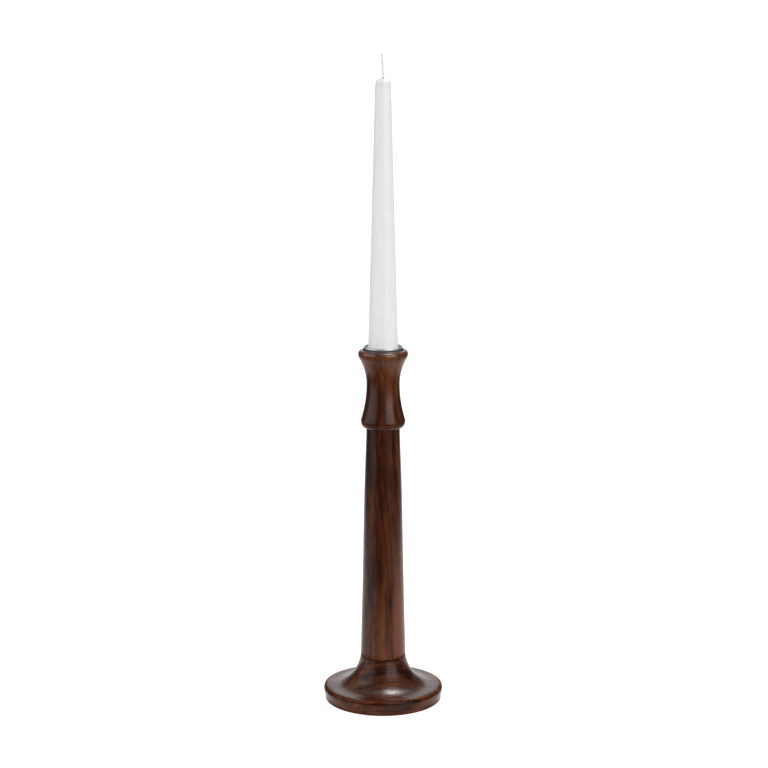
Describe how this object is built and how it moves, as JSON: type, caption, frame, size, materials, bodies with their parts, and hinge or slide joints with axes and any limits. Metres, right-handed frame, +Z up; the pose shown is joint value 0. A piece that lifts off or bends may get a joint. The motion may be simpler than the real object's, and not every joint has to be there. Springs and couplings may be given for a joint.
{
  "type": "wooden candlestick",
  "caption": "Tall turned wooden candlestick: round foot with a long cove, tapered shaft, waisted neck and metal candle cup, with a white taper candle that lifts out.",
  "frame": {"origin": "centre of the felt's underside, where the candlestick stands on a table", "axes": "+Z up along the turning axis; X and Y are equal, as the object is round"},
  "size_m": [0.0888, 0.0888, 0.4788],
  "materials": {
    "stained_wood": "satin lacquer",
    "dowel_wood": "bare",
    "cup_metal": "satin",
    "zinc_steel": "plated",
    "wax": "satin",
    "cotton": "waxed",
    "felt": "felt"
  },
  "bodies": {
    "stick": {"felt_pad": "felt", "foot": "stained_wood", "foot_washer": "zinc_steel", "foot_screw": "zinc_steel", "shaft": "stained_wood", "neck_dowel": "dowel_wood", "neck": "stained_wood", "candle_cup": "cup_metal", "cup_screw": "zinc_steel"},
    "taper": {"candle": "wax", "wick": "cotton"}
  },
  "joints": [
    {"name": "candle_lift", "type": "slide", "parent": "stick", "child": "taper", "axis": [0, 0, 1], "range_m": [0, 0.05]}
  ]
}
